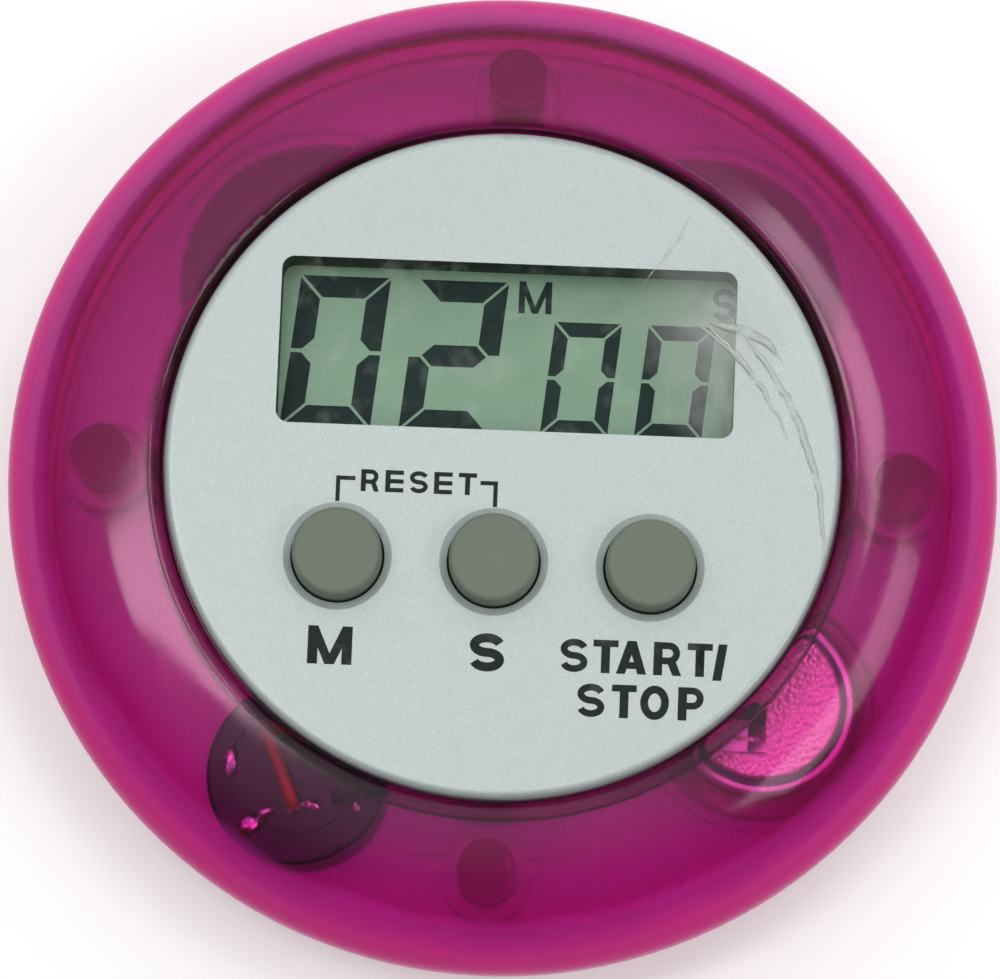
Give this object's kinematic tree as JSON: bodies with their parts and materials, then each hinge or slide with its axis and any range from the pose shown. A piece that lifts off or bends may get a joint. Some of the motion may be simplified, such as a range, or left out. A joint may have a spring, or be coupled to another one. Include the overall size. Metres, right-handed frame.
{
  "type": "kitchen countdown timer",
  "caption": "Round palm-sized countdown timer: see-through puck case, silver face with digital display and press keys, back magnets, fold-out stand and coin-slot battery door.",
  "frame": {"origin": "centre of the flat back, on the surface that the timer lies on", "axes": "+Z out of the face, +Y towards the top of the display, +X to the display's right"},
  "size_m": [0.062, 0.062, 0.0151],
  "materials": {
    "case_shell": "see-through moulded polystyrene, high gloss",
    "stand_shell": "see-through moulded polystyrene, high gloss",
    "face_silver": "silver lacquer with a fine metallic grain",
    "face_film": "thin clear protective film, slightly creased",
    "display_black": "black moulded plastic",
    "display_glass": "thin display glass",
    "polarizer": "grey-green polarizing film",
    "reflector": "satin reflecting film",
    "elastomer": "striped conductive rubber",
    "board": "phenolic circuit board",
    "screw_steel": "zinc-plated steel",
    "resin": "black potting resin",
    "crystal_can": "drawn nickel-plated can",
    "capacitor": "ceramic chip with tinned ends",
    "resistor": "black glazed chip with tinned ends",
    "key_grey": "matt khaki-grey moulded plastic",
    "keypad_rubber": "translucent silicone rubber",
    "carbon_pill": "carbon-loaded rubber",
    "magnet_ferrite": "pressed dark grey ferrite",
    "cell_steel": "nickel-plated steel",
    "cell_seal": "nylon seal",
    "contact_metal": "tinned spring strip",
    "buzzer_black": "black moulded plastic",
    "buzzer_brass": "rolled brass disc",
    "buzzer_ceramic": "silvered piezo ceramic",
    "wire_red": "red vinyl insulation",
    "wire_black": "black vinyl insulation"
  },
  "bodies": {
    "case": {"board_screws": "screw_steel", "buzzer_cap": "buzzer_black", "buzzer_case": "buzzer_black", "buzzer_ceramic": "buzzer_ceramic", "buzzer_diaphragm": "buzzer_brass", "buzzer_wire_black": "wire_black", "buzzer_wire_red": "wire_red", "cell_can": "cell_steel", "cell_cap": "cell_steel", "cell_gasket": "cell_seal", "chip_blob": "resin", "chip_capacitors": "capacitor", "chip_resistors": "resistor", "circuit_board": "board", "dome_minutes": "keypad_rubber", "dome_seconds": "keypad_rubber", "dome_start": "keypad_rubber", "face_film": "face_film", "face_plate": "face_silver", "front_bezel": "case_shell", "front_glass": "display_glass", "front_polarizer": "polarizer", "keypad_web": "keypad_rubber", "lcd_frame": "display_black", "magnet_left": "magnet_ferrite", "magnet_right": "magnet_ferrite", "negative_contact": "contact_metal", "positive_contact": "contact_metal", "quartz_crystal": "crystal_can", "rear_cover": "case_shell", "rear_glass": "display_glass", "rear_reflector": "reflector", "zebra_strip": "elastomer"},
    "key_minutes": {"key_minutes": "key_grey", "pill_minutes": "carbon_pill"},
    "key_seconds": {"key_seconds": "key_grey", "pill_seconds": "carbon_pill"},
    "key_start": {"key_start": "key_grey", "pill_start": "carbon_pill"},
    "stand": {"stand": "stand_shell"},
    "battery_door": {"battery_door": "stand_shell"}
  },
  "joints": [
    {"name": "minutes_press", "type": "slide", "parent": "case", "child": "key_minutes", "axis": [0, 0, -1], "range_m": [0, 0.0008], "stiffness_N_per_m": 1500, "springref_m": -0.0003, "deforming": ["dome_minutes"]},
    {"name": "seconds_press", "type": "slide", "parent": "case", "child": "key_seconds", "axis": [0, 0, -1], "range_m": [0, 0.0008], "stiffness_N_per_m": 1500, "springref_m": -0.0003, "deforming": ["dome_seconds"]},
    {"name": "start_press", "type": "slide", "parent": "case", "child": "key_start", "axis": [0, 0, -1], "range_m": [0, 0.0008], "stiffness_N_per_m": 1500, "springref_m": -0.0003, "deforming": ["dome_start"]},
    {"name": "stand_hinge", "type": "hinge", "parent": "case", "child": "stand", "pos_m": [0, 0.0005, 0.00145], "axis": [1, 0, 0], "range_deg": [0, 50]},
    {"name": "door_turn", "type": "hinge", "parent": "case", "child": "battery_door", "pos_m": [0.01655, -0.01341, 0.00125], "axis": [0, 0, 1], "range_deg": [0, 60]}
  ]
}
